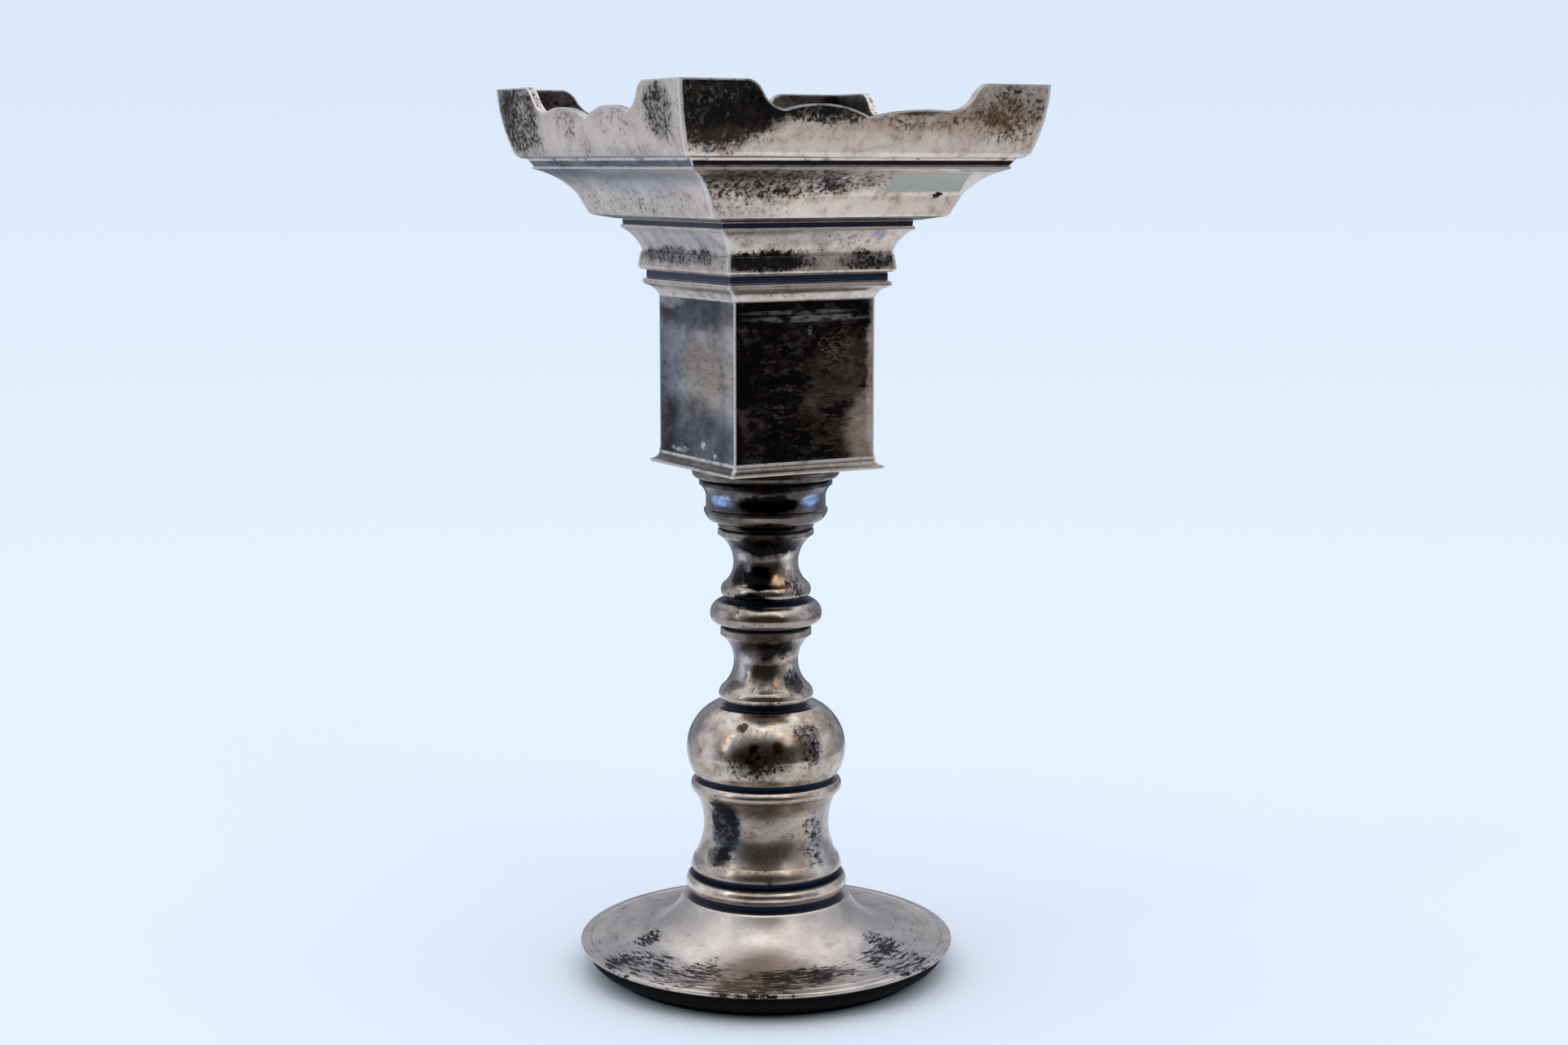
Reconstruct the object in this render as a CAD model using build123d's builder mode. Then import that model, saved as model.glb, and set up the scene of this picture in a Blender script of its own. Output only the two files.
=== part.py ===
"""Altar candlestick: a square battlemented crown on a turned stem, strung on one tie rod.

Millimetres, +Z up, origin at the centre of the underside. The sides of the square head are
parallel to X and Y.
"""
import os

from build123d import *

os.makedirs("parts", exist_ok=True)

# Driving sizes of the head
crown_side = 75.0
crown_height = 13.0
wall_thickness = 1.6
floor_side = 64.8
floor_thickness = 1.3
column_side = 29.5
column_wall = 1.2
candle_bore_radius = 11.25
candle_bore_depth = 29.0
cup_wall = 0.9
cup_clearance = 0.35
cup_rim_height = 2.6
flange_radius = 17.0
flange_thickness = 0.9

# Driving sizes of the foot
base_radius = 35.85
felt_radius = 30.3
foot_radius = 34.5
foot_inner_radius = 28.7
foot_height = 5.0
felt_thickness = 1.2
plate_thickness = 1.0

# Driving sizes of the fastenings
rod_radius = 2.5
rod_clearance = 0.1
nut_across_flats = 8.0
nut_height = 4.0
washer_radius = 5.5
washer_thickness = 1.0
rod_bore = rod_radius + rod_clearance

# Height of each section from its seat to the seat of the next one, from the floor up
dish_height = 9.3
base_ring_height = 4.1
drum_height = 18.7
ball_height = 14.4
lower_baluster_height = 15.1
ring_knop_height = 5.1
upper_baluster_height = 13.7
capital_height = 9.5
disc_height = 2.5
column_plate_height = 2.0
column_height = 29.9
collar_height = 3.6
cornice_height = 9.5
pan_moulding_height = 10.9

dish_seat = foot_height
base_ring_seat = dish_seat + dish_height
drum_seat = base_ring_seat + base_ring_height
ball_seat = drum_seat + drum_height
lower_baluster_seat = ball_seat + ball_height
ring_knop_seat = lower_baluster_seat + lower_baluster_height
upper_baluster_seat = ring_knop_seat + ring_knop_height
capital_seat = upper_baluster_seat + upper_baluster_height
disc_seat = capital_seat + capital_height
column_plate_seat = disc_seat + disc_height
column_seat = column_plate_seat + column_plate_height
collar_seat = column_seat + column_height
cornice_seat = collar_seat + collar_height
pan_moulding_seat = cornice_seat + cornice_height
floor_seat = pan_moulding_seat + pan_moulding_height
crown_seat = floor_seat + floor_thickness

# Each section stands on a narrower foot, which leaves a dark quirk between it and the next
foot_quirk = 1.5
wide_quirk = 1.3
head_quirk = 1.0
fine_quirk = 0.8


def finish(piece, name):
    """Label a finished piece and write its file."""
    piece.part.label = name
    export_step(piece.part, f"parts/{name}.step")


def section_at(seat):
    """The upright plane through the axis: local x runs outward, local y up from the seat."""
    return Plane(origin=(0, 0, seat), x_dir=(1, 0, 0), z_dir=(0, -1, 0))


def cross_section_at(seat):
    """The same plane turned a quarter, for the second pair of sides of a square moulding."""
    return Plane(origin=(0, 0, seat), x_dir=(0, 1, 0), z_dir=(1, 0, 0))


# --- Foot -----------------------------------------------------------------------------------
# Points of a section are (radius, height above the section's seat).

upward = (Align.CENTER, Align.CENTER, Align.MIN)
with BuildPart() as felt_pad:
    Cylinder(felt_radius, felt_thickness, align=upward)
finish(felt_pad, "felt_pad")

with BuildPart() as foot_ring:
    with BuildSketch(Plane.XZ):
        with BuildLine():
            Line((foot_inner_radius, felt_thickness), (31.2, felt_thickness))
            ThreePointArc((31.2, felt_thickness), (33.2, 1.95), (foot_radius, 3.6))
            Line((foot_radius, 3.6), (foot_radius, foot_height))
            Line((foot_radius, foot_height), (foot_inner_radius, foot_height))
            Line((foot_inner_radius, foot_height), (foot_inner_radius, felt_thickness))
        make_face()
    revolve(axis=Axis.Z)
finish(foot_ring, "foot_ring")

with BuildPart() as bottom_plate:
    with BuildSketch(Plane.XY.offset(felt_thickness)):
        Circle(foot_inner_radius)
    extrude(amount=plate_thickness)
finish(bottom_plate, "bottom_plate")

# The dish is spun from sheet: the flare above, and its parallel below
dish_wall = 1.4
lip_width = 2.15
lip_thickness = 1.05
neck_radius = 16.0
dish_top_radius = 14.5
dish_underside = dish_height - dish_wall
dish_hollow_radius = 26.5
flare_top = (neck_radius, dish_height - 0.3)
flare_foot = (25.0, 1.75)
brim_edge = (base_radius - lip_width, 1.05)
lip_foot = (base_radius - 0.4, 0)
with BuildPart() as base_dish:
    with BuildSketch(section_at(dish_seat)):
        with BuildLine():
            Polyline((rod_bore, dish_height), (neck_radius - 0.3, dish_height), flare_top)
            ThreePointArc(flare_top, (19.5, 4.5), flare_foot)
            ThreePointArc(flare_foot, (29.0, 1.2), brim_edge)
            Polyline(brim_edge, (brim_edge[0] + 0.15, 0.9), (brim_edge[0] + 0.35, lip_thickness))
            Line((brim_edge[0] + 0.35, lip_thickness), (base_radius - 0.5, lip_thickness - 0.1))
            ThreePointArc((base_radius - 0.5, lip_thickness - 0.1), (base_radius, 0.5), lip_foot)
            Line(lip_foot, (dish_hollow_radius, 0))
            ThreePointArc((dish_hollow_radius, 0), (18.5, 3.5), (dish_top_radius, dish_underside))
            Polyline((dish_top_radius, dish_underside), (rod_bore, dish_underside), (rod_bore, dish_height))
        make_face()
    revolve(axis=Axis.Z)
finish(base_dish, "base_dish")

# Loading that fills the hollow of the dish, with a pocket for the rod's lower nut
weight_top = dish_seat + dish_underside
weight_base = felt_thickness + plate_thickness + 0.3
weight_radius = foot_inner_radius - 0.8
weight_brim = (dish_hollow_radius - 0.7, dish_seat - 0.1)
pocket_radius = 8.0
pocket_roof = weight_top - 4.4
with BuildPart() as base_weight:
    with BuildSketch(Plane.XZ):
        with BuildLine():
            Line((rod_bore, weight_top), (dish_top_radius - 0.3, weight_top))
            ThreePointArc((dish_top_radius - 0.3, weight_top), (18.1, weight_top - 4.6), weight_brim)
            Polyline(weight_brim, (weight_radius, dish_seat - 0.3), (weight_radius, weight_base))
            Line((weight_radius, weight_base), (pocket_radius, weight_base))
            Polyline((pocket_radius, weight_base), (pocket_radius, pocket_roof), (rod_bore, pocket_roof))
            Line((rod_bore, pocket_roof), (rod_bore, weight_top))
        make_face()
    revolve(axis=Axis.Z)
finish(base_weight, "base_weight")

# --- Turned stem, from the foot up ------------------------------------------------------------

with BuildPart() as base_ring:
    with BuildSketch(section_at(base_ring_seat)):
        with BuildLine():
            Polyline((rod_bore, 0), (14.2, 0), (14.2, foot_quirk), (15.15, foot_quirk))
            ThreePointArc((15.15, foot_quirk), (15.45, 2.5), (15.25, 3.5))
            Polyline((15.25, 3.5), (15.0, 3.9), (14.5, base_ring_height))
            Polyline((14.5, base_ring_height), (rod_bore, base_ring_height), (rod_bore, 0))
        make_face()
    revolve(axis=Axis.Z)
finish(base_ring, "base_ring")

drum_radius = 14.45
drum_waist = 11.98
with BuildPart() as drum:
    with BuildSketch(section_at(drum_seat)):
        with BuildLine():
            Polyline((rod_bore, 0), (13.3, 0), (13.3, wide_quirk), (14.3, wide_quirk), (drum_radius, 1.6))
            ThreePointArc((drum_radius, 1.6), (14.2, 2.8), (13.55, 3.9))
            ThreePointArc((13.55, 3.9), (drum_waist, 10.1), (13.6, 16.3))
            Line((13.6, 16.3), (13.9, 16.4))
            ThreePointArc((13.9, 16.4), (drum_radius, 17.5), (13.9, drum_height))
            Polyline((13.9, drum_height), (rod_bore, drum_height), (rod_bore, 0))
        make_face()
    revolve(axis=Axis.Z)
finish(drum, "drum")

ball_radius = 15.2
ball_belly = 6.1
ball_top_radius = 10.2
with BuildPart() as ball_knop:
    with BuildSketch(section_at(ball_seat)):
        with BuildLine():
            Polyline((rod_bore, 0), (12.8, 0), (12.8, wide_quirk), (13.8, wide_quirk))
            TangentArc((ball_radius, ball_belly), (13.8, wide_quirk), tangent=(0, -1))
            TangentArc((ball_radius, ball_belly), (ball_top_radius, ball_height), tangent=(0, 1))
            Polyline((ball_top_radius, ball_height), (rod_bore, ball_height), (rod_bore, 0))
        make_face()
    revolve(axis=Axis.Z)
finish(ball_knop, "ball_knop")

with BuildPart() as lower_baluster:
    with BuildSketch(section_at(lower_baluster_seat)):
        with BuildLine():
            Polyline((rod_bore, 0), (7.8, 0), (7.8, wide_quirk), (8.8, wide_quirk))
            ThreePointArc((8.8, wide_quirk), (9.0, 2.2), (8.3, 3.65))
            ThreePointArc((8.3, 3.65), (6.65, 5.95), (6.1, 8.5))
            ThreePointArc((6.1, 8.5), (6.65, 11.15), (8.5, 13.55))
            Polyline((8.5, 13.55), (8.65, 13.65), (8.65, 14.8), (8.4, lower_baluster_height))
            Polyline((8.4, lower_baluster_height), (rod_bore, lower_baluster_height), (rod_bore, 0))
        make_face()
    revolve(axis=Axis.Z)
finish(lower_baluster, "lower_baluster")

with BuildPart() as ring_knop:
    with BuildSketch(section_at(ring_knop_seat)):
        with BuildLine():
            Polyline((rod_bore, 0), (7.9, 0), (7.9, fine_quirk), (9.2, fine_quirk))
            ThreePointArc((9.2, fine_quirk), (10.05, 1.15), (10.45, 1.75))
            ThreePointArc((10.45, 1.75), (10.5, 3.4), (8.9, ring_knop_height))
            Polyline((8.9, ring_knop_height), (rod_bore, ring_knop_height), (rod_bore, 0))
        make_face()
    revolve(axis=Axis.Z)
finish(ring_knop, "ring_knop")

with BuildPart() as upper_baluster:
    with BuildSketch(section_at(upper_baluster_seat)):
        with BuildLine():
            Polyline((rod_bore, 0), (7.4, 0), (7.4, head_quirk), (8.2, head_quirk))
            ThreePointArc((8.2, head_quirk), (8.55, 2.1), (7.75, 3.5))
            ThreePointArc((7.75, 3.5), (6.55, 5.2), (6.15, 7.2))
            ThreePointArc((6.15, 7.2), (6.75, 10.1), (8.9, 12.6))
            Polyline((8.9, 12.6), (9.1, 12.7), (9.1, 13.5), (8.9, upper_baluster_height))
            Polyline((8.9, upper_baluster_height), (rod_bore, upper_baluster_height), (rod_bore, 0))
        make_face()
    revolve(axis=Axis.Z)
finish(upper_baluster, "upper_baluster")

with BuildPart() as neck_capital:
    with BuildSketch(section_at(capital_seat)):
        with BuildLine():
            Polyline((rod_bore, 0), (8.3, 0), (8.3, 0.4), (9.05, 0.5), (9.05, 1.3))
            ThreePointArc((9.05, 1.3), (10.75, 1.95), (11.6, 3.2))
            Polyline((11.6, 3.2), (11.7, 3.4), (11.7, 3.9), (11.35, 4.15), (11.3, 6.0))
            ThreePointArc((11.3, 6.0), (11.6, 7.4), (12.35, 8.4))
            Polyline((12.35, 8.4), (12.6, 8.6), (12.6, 9.2), (12.4, capital_height))
            Polyline((12.4, capital_height), (rod_bore, capital_height), (rod_bore, 0))
        make_face()
    revolve(axis=Axis.Z)
finish(neck_capital, "neck_capital")

with BuildPart() as abacus_disc:
    with BuildSketch(section_at(disc_seat)):
        with BuildLine():
            Polyline((rod_bore, 0), (12.2, 0), (12.5, 0.3))
            ThreePointArc((12.5, 0.3), (13.3, 0.45), (13.8, 0.9))
            ThreePointArc((13.8, 0.9), (13.95, 1.6), (13.7, disc_height))
            Polyline((13.7, disc_height), (rod_bore, disc_height), (rod_bore, 0))
        make_face()
    revolve(axis=Axis.Z)
finish(abacus_disc, "abacus_disc")

# --- Square head ------------------------------------------------------------------------------
# Points of a section are (half side, height above the seat). A square moulding is what two equal
# bars of that section have in common, one along X and one along Y, so its corners are mitred.

bar_reach = crown_side


def two_bars(seat):
    """The two section planes of a square moulding, each with the mode of its bar."""
    return ((section_at(seat), Mode.ADD), (cross_section_at(seat), Mode.INTERSECT))


with BuildPart() as column_plate:
    for plane, bar_mode in two_bars(column_plate_seat):
        with BuildSketch(plane):
            with BuildLine():
                Polyline((0, 0), (15.8, 0), (16.15, 0.15), (16.25, 0.35), (16.2, 0.6))
                ThreePointArc((16.2, 0.6), (15.5, 0.95), (15.05, 1.5))
                Polyline((15.05, 1.5), (14.95, column_plate_height), (0, column_plate_height), (0, 0))
            make_face()
            mirror(about=Plane.YZ)
        extrude(amount=bar_reach, both=True, mode=bar_mode)
    with BuildSketch(Plane.XY.offset(column_plate_seat)):
        Circle(rod_bore)
    extrude(amount=column_plate_height, mode=Mode.SUBTRACT)
finish(column_plate, "column_plate")

half_column = column_side / 2
hollow_side = column_side - 2 * column_wall
with BuildPart() as column_box:
    for plane, bar_mode in two_bars(column_seat):
        with BuildSketch(plane):
            with BuildLine():
                Line((0, 0), (half_column + 0.2, 0))
                ThreePointArc((half_column + 0.2, 0), (half_column + 0.06, 0.7), (half_column, 2.0))
                Polyline((half_column, 2.0), (half_column, column_height), (0, column_height), (0, 0))
            make_face()
            mirror(about=Plane.YZ)
        extrude(amount=bar_reach, both=True, mode=bar_mode)
    with BuildSketch(Plane.XY.offset(column_seat)):
        Rectangle(hollow_side, hollow_side)
    extrude(amount=column_height, mode=Mode.SUBTRACT)
finish(column_box, "column_box")

with BuildPart() as collar_moulding:
    for plane, bar_mode in two_bars(collar_seat):
        with BuildSketch(plane):
            with BuildLine():
                Line((0, 0), (14.85, 0))
                ThreePointArc((14.85, 0), (15.5, 1.1), (16.8, 1.95))
                Polyline((16.8, 1.95), (17.05, 2.15), (17.05, 2.9), (16.5, 3.1), (16.5, collar_height))
                Polyline((16.5, collar_height), (0, collar_height), (0, 0))
            make_face()
            mirror(about=Plane.YZ)
        extrude(amount=bar_reach, both=True, mode=bar_mode)
    with BuildSketch(Plane.XY.offset(collar_seat)):
        Rectangle(hollow_side, hollow_side)
    extrude(amount=collar_height, mode=Mode.SUBTRACT)
finish(collar_moulding, "collar_moulding")

with BuildPart() as cornice_moulding:
    for plane, bar_mode in two_bars(cornice_seat):
        with BuildSketch(plane):
            with BuildLine():
                Polyline((0, 0), (16.5, 0), (16.5, head_quirk), (17.25, 1.15))
                ThreePointArc((17.25, 1.15), (17.6, 1.5), (17.65, 2.1))
                Polyline((17.65, 2.1), (17.35, 4.3), (17.15, 4.45), (17.15, 4.9))
                ThreePointArc((17.15, 4.9), (18.1, 6.9), (19.85, 8.8))
                Polyline((19.85, 8.8), (20.1, 8.9), (20.1, 9.3), (19.9, cornice_height))
                Polyline((19.9, cornice_height), (0, cornice_height), (0, 0))
            make_face()
            mirror(about=Plane.YZ)
        extrude(amount=bar_reach, both=True, mode=bar_mode)
    with BuildSketch(Plane.XY.offset(cornice_seat)):
        Rectangle(hollow_side, hollow_side)
    extrude(amount=cornice_height, mode=Mode.SUBTRACT)
finish(cornice_moulding, "cornice_moulding")

with BuildPart() as pan_moulding:
    for plane, bar_mode in two_bars(pan_moulding_seat):
        with BuildSketch(plane):
            with BuildLine():
                Polyline((0, 0), (19.75, 0), (19.85, head_quirk), (21.0, 1.1), (24.3, 1.8), (24.65, 2.2))
                Line((24.65, 2.2), (26.15, 5.5))
                ThreePointArc((26.15, 5.5), (28.55, 8.2), (32.25, 10.2))
                Polyline((32.25, 10.2), (32.5, 10.3), (32.5, 10.7), (32.3, pan_moulding_height))
                Polyline((32.3, pan_moulding_height), (0, pan_moulding_height), (0, 0))
            make_face()
            mirror(about=Plane.YZ)
        extrude(amount=bar_reach, both=True, mode=bar_mode)
    with BuildSketch(Plane.XY.offset(pan_moulding_seat)):
        Rectangle(hollow_side, hollow_side)
    extrude(amount=pan_moulding_height, mode=Mode.SUBTRACT)
finish(pan_moulding, "pan_moulding")

cup_radius = candle_bore_radius + cup_wall
floor_edge_lean = 35.0
with BuildPart() as pan_floor:
    with BuildSketch(Plane.XY.offset(floor_seat)):
        Rectangle(floor_side, floor_side)
    extrude(amount=floor_thickness, taper=-floor_edge_lean)
    with BuildSketch(Plane.XY.offset(floor_seat)):
        Circle(cup_radius + cup_clearance)
    extrude(amount=floor_thickness, mode=Mode.SUBTRACT)
finish(pan_floor, "pan_floor")

# --- Crown: four flared plates, mitred at the corners and scalloped between two merlons ---------

half_crown = crown_side / 2
crown_foot = (35.2, 1.2)
crown_corner = (33.3, 0.9)
turned_in_foot = 30.0
notch_height = 6.9
hump_height = 9.05
low_hump_height = 8.2
scallop_foot = (16.8, 8.1)
scallop_bend = (21.4, 10.8)
scallop_head = (24.2, crown_height)


def gallery_wall(outward, along, far_hump=hump_height):
    """One crown plate: outward is where its outer face looks, and along is the way to its far hump."""
    centre = (0, 0, crown_seat)
    section = Plane(origin=centre, x_dir=outward, z_dir=Vector(*outward).cross(Vector(0, 0, 1)))
    elevation = Plane(origin=centre, x_dir=along, z_dir=outward)
    plan = Plane(origin=centre, x_dir=along, z_dir=(0, 0, 1))
    with BuildPart() as wall:
        with BuildSketch(section):
            with BuildLine():
                ThreePointArc((half_crown, crown_height), (36.75, 6.8), crown_foot)
                ThreePointArc(crown_foot, (34.6, 0.35), (33.4, 0))
                Polyline((33.4, 0), (turned_in_foot, 0), (turned_in_foot, 0.9), crown_corner)
                ThreePointArc(
                    crown_corner,
                    (36.75 - wall_thickness, 6.8),
                    (half_crown - wall_thickness, crown_height),
                )
                Line((half_crown - wall_thickness, crown_height), (half_crown, crown_height))
            make_face()
        extrude(amount=crown_side, both=True)
        with BuildSketch(plan):
            with BuildLine():
                Polyline((0, 0), (crown_side, -crown_side), (-crown_side, -crown_side), (0, 0))
            make_face()
        extrude(amount=crown_height, mode=Mode.INTERSECT)
        with BuildSketch(elevation):
            for side, hump in ((-1, hump_height), (1, far_hump)):
                foot = (side * scallop_foot[0], scallop_foot[1])
                bend = (side * scallop_bend[0], scallop_bend[1])
                head = (side * scallop_head[0], scallop_head[1])
                with BuildLine():
                    ThreePointArc((0, notch_height), (side * 8.0, hump), foot)
                    ThreePointArc(foot, (side * 19.6, 9.0), bend)
                    ThreePointArc(bend, (side * 22.5, 12.2), head)
                    Polyline(head, (head[0], 2 * crown_height), (0, 2 * crown_height), (0, notch_height))
                make_face()
        extrude(amount=crown_side, mode=Mode.SUBTRACT)
    return wall


# The scallops are cut by hand, and the front plate's right-hand lobe is lower than the rest
finish(gallery_wall((0, -1, 0), (1, 0, 0), low_hump_height), "gallery_wall_front")
finish(gallery_wall((1, 0, 0), (0, 1, 0)), "gallery_wall_right")
finish(gallery_wall((0, 1, 0), (-1, 0, 0)), "gallery_wall_back")
finish(gallery_wall((-1, 0, 0), (0, -1, 0)), "gallery_wall_left")

# --- Candle cup, lifted out of the pan by its flange --------------------------------------------

cup_rim = crown_seat + cup_rim_height
cup_bore_floor = cup_rim - candle_bore_depth
cup_base = cup_bore_floor - 1.2
bead_foot = (cup_radius, cup_rim - 0.9)
bead_radius = cup_radius + 0.7
flange_top = crown_seat + flange_thickness
cove_height = flange_top + 0.4
with BuildPart() as candle_cup:
    with BuildSketch(Plane.XZ):
        with BuildLine():
            Polyline((0, cup_base), (cup_radius - 1.0, cup_base), (cup_radius, cup_base + 1.0))
            Polyline((cup_radius, cup_base + 1.0), (cup_radius, crown_seat))
            Line((cup_radius, crown_seat), (flange_radius - 0.3, crown_seat))
            ThreePointArc(
                (flange_radius - 0.3, crown_seat),
                (flange_radius, crown_seat + flange_thickness / 2),
                (flange_radius - 0.3, flange_top),
            )
            Line((flange_radius - 0.3, flange_top), (cup_radius + 1.2, flange_top))
            ThreePointArc((cup_radius + 1.2, flange_top), (cup_radius + 0.3, cove_height), bead_foot)
            ThreePointArc(bead_foot, (bead_radius, cup_rim - 0.45), (cup_radius + 0.15, cup_rim))
            Line((cup_radius + 0.15, cup_rim), (candle_bore_radius, cup_rim))
            Line((candle_bore_radius, cup_rim), (candle_bore_radius, cup_bore_floor))
            Polyline((candle_bore_radius, cup_bore_floor), (0, cup_bore_floor), (0, cup_base))
        make_face()
    revolve(axis=Axis.Z)
finish(candle_cup, "candle_cup")

# --- Tie rod and its nuts -----------------------------------------------------------------------

nut_gap = 1.0
bottom_washer_seat = pocket_roof - washer_thickness
bottom_nut_seat = bottom_washer_seat - nut_height
top_washer_seat = column_seat
top_nut_seat = top_washer_seat + washer_thickness
rod_bottom = bottom_nut_seat - nut_gap / 2
rod_top = top_nut_seat + nut_height + nut_gap

with BuildPart() as tie_rod:
    with BuildSketch(Plane.XY.offset(rod_bottom)):
        Circle(rod_radius)
    extrude(amount=rod_top - rod_bottom)
    chamfer(tie_rod.edges().filter_by(GeomType.CIRCLE), 0.4)
finish(tie_rod, "tie_rod")


def washer(seat):
    """A plain washer standing on the seat."""
    with BuildPart() as ring:
        with BuildSketch(Plane.XY.offset(seat)):
            Circle(washer_radius)
            Circle(rod_bore, mode=Mode.SUBTRACT)
        extrude(amount=washer_thickness)
    return ring


def nut(seat):
    """A hexagon nut standing on the seat."""
    with BuildPart() as hexagon:
        with BuildSketch(Plane.XY.offset(seat)):
            RegularPolygon(nut_across_flats / 2, 6, major_radius=False)
            Circle(rod_bore, mode=Mode.SUBTRACT)
        extrude(amount=nut_height)
    return hexagon


finish(washer(bottom_washer_seat), "bottom_washer")
finish(nut(bottom_nut_seat), "bottom_nut")
finish(washer(top_washer_seat), "top_washer")
finish(nut(top_nut_seat), "top_nut")
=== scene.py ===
"""Altar candlestick in tarnished silver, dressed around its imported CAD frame.

Metres, +Z up, the same frame as the CAD. Distances inside the materials are in millimetres.
"""
import math

import bpy
from mathutils import Matrix, Vector


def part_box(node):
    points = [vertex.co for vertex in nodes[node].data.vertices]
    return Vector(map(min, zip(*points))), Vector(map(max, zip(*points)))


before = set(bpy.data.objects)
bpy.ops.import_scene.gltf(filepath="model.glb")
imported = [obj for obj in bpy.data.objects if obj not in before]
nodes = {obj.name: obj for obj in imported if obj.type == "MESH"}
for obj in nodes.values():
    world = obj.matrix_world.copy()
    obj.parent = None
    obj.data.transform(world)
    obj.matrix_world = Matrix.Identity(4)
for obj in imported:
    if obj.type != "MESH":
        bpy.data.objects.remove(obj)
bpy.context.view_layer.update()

MM = 0.001
scene = bpy.context.scene

# The camera stands off the corner between the front and the left side of the square head
VIEW_TURN = Matrix.Rotation(math.radians(-29.96), 4, "Z")
TOWARDS_CAMERA = VIEW_TURN.to_3x3() @ Vector((0, -1, 0))
RIGHTWARDS = VIEW_TURN.to_3x3() @ Vector((1, 0, 0))

WHITE = (1, 1, 1, 1)


# --- Laying out shader nodes ------------------------------------------------------------------

class Graph:
    """Short calls for laying out shader nodes, in a world or in a material."""

    def __init__(self, tree):
        self.tree = tree

    def add(self, kind):
        """A new node of a kind, such as Math or Mix."""
        return self.tree.nodes.new("ShaderNode" + kind)

    def feed(self, socket, value):
        """Link a socket to the input, or set a plain value on it."""
        if isinstance(value, bpy.types.NodeSocket):
            self.tree.links.new(value, socket)
        else:
            socket.default_value = value

    def math(self, operation, first, second=0.0, clamp=False):
        node = self.add("Math")
        node.operation = operation
        node.use_clamp = clamp
        self.feed(node.inputs[0], first)
        self.feed(node.inputs[1], second)
        return node.outputs[0]

    def plus(self, first, second):
        return self.math("ADD", first, second)

    def minus(self, first, second):
        return self.math("SUBTRACT", first, second)

    def times(self, first, second, clamp=False):
        return self.math("MULTIPLY", first, second, clamp)

    def most(self, first, second):
        return self.math("MAXIMUM", first, second)

    def size(self, value):
        return self.math("ABSOLUTE", value)

    def vector(self, operation, first, second=None, scale=None):
        node = self.add("VectorMath")
        node.operation = operation
        self.feed(node.inputs[0], first)
        if second is not None:
            self.feed(node.inputs[1], second)
        if scale is not None:
            self.feed(node.inputs["Scale"], scale)
        return node.outputs["Value" if operation in ("LENGTH", "DOT_PRODUCT") else "Vector"]

    def parts(self, vector):
        """The x, y and z of a vector."""
        node = self.add("SeparateXYZ")
        self.feed(node.inputs[0], vector)
        return node.outputs

    def join(self, x, y, z):
        """A vector from its x, y and z."""
        node = self.add("CombineXYZ")
        for socket, value in zip(node.inputs, (x, y, z)):
            self.feed(socket, value)
        return node.outputs[0]

    def step(self, value, low, high, bottom=0.0, top=1.0):
        """A smooth rise from bottom to top as the value goes from low to high."""
        node = self.add("MapRange")
        node.interpolation_type = "SMOOTHSTEP"
        self.feed(node.inputs["Value"], value)
        self.feed(node.inputs["From Min"], low)
        self.feed(node.inputs["From Max"], high)
        self.feed(node.inputs["To Min"], bottom)
        self.feed(node.inputs["To Max"], top)
        return node.outputs["Result"]

    def blend(self, factor, first, second, data_type="FLOAT"):
        """From the first number to the second one as the factor goes from 0 to 1."""
        node = self.add("Mix")
        node.data_type = data_type
        self.feed(node.inputs["Factor"], factor)
        self.feed(node.inputs["A"], first)
        self.feed(node.inputs["B"], second)
        return node.outputs["Result"]

    def mix(self, factor, first, second):
        """From the first colour to the second one as the factor goes from 0 to 1."""
        return self.blend(factor, first, second, "RGBA")

    def glow(self, colour):
        """A plain background shader of one colour."""
        node = self.add("Background")
        self.feed(node.inputs["Color"], colour)
        return node.outputs[0]


# --- Camera, floor and light ------------------------------------------------------------------

def add_camera():
    """A look from a little below the crown's rim, pitched down towards the foot."""
    distance = 0.4532
    side_step = 0.00345
    height = 0.1533
    pitch = math.radians(8.394)
    data = bpy.data.cameras.new("camera")
    data.sensor_width = 36.0
    data.lens = 55.56
    data.clip_start = 0.01
    camera = bpy.data.objects.new("camera", data)
    scene.collection.objects.link(camera)
    place = Matrix.Translation(VIEW_TURN @ Vector((side_step, -distance, height)))
    look = Matrix.Rotation(math.radians(90) - pitch, 4, "X")
    camera.matrix_world = place @ VIEW_TURN @ look
    scene.camera = camera


def add_table():
    """A round white table top under the foot, reaching further behind it and to its left."""
    radius = 0.2127
    leftwards = 0.0212
    backwards = 0.0165
    bpy.ops.mesh.primitive_circle_add(vertices=360, radius=radius, fill_type="NGON")
    table = bpy.context.object
    table.name = "table_top"
    table.location = -(RIGHTWARDS * leftwards + TOWARDS_CAMERA * backwards)
    material = bpy.data.materials.new("table_white")
    material.use_nodes = True
    shader = material.node_tree.nodes["Principled BSDF"]
    shader.inputs["Base Color"].default_value = (0.92, 0.955, 0.99, 1)
    shader.inputs["Roughness"].default_value = 0.55
    shader.inputs["Specular IOR Level"].default_value = 0.15
    table.data.materials.append(material)


def compass(bearing, elevation):
    """A direction from the object: degrees to the right of the camera, and degrees up."""
    turn = math.radians(bearing)
    rise = math.radians(elevation)
    level = math.cos(turn) * TOWARDS_CAMERA + math.sin(turn) * RIGHTWARDS
    return level * math.cos(rise) + Vector((0, 0, math.sin(rise)))


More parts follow.
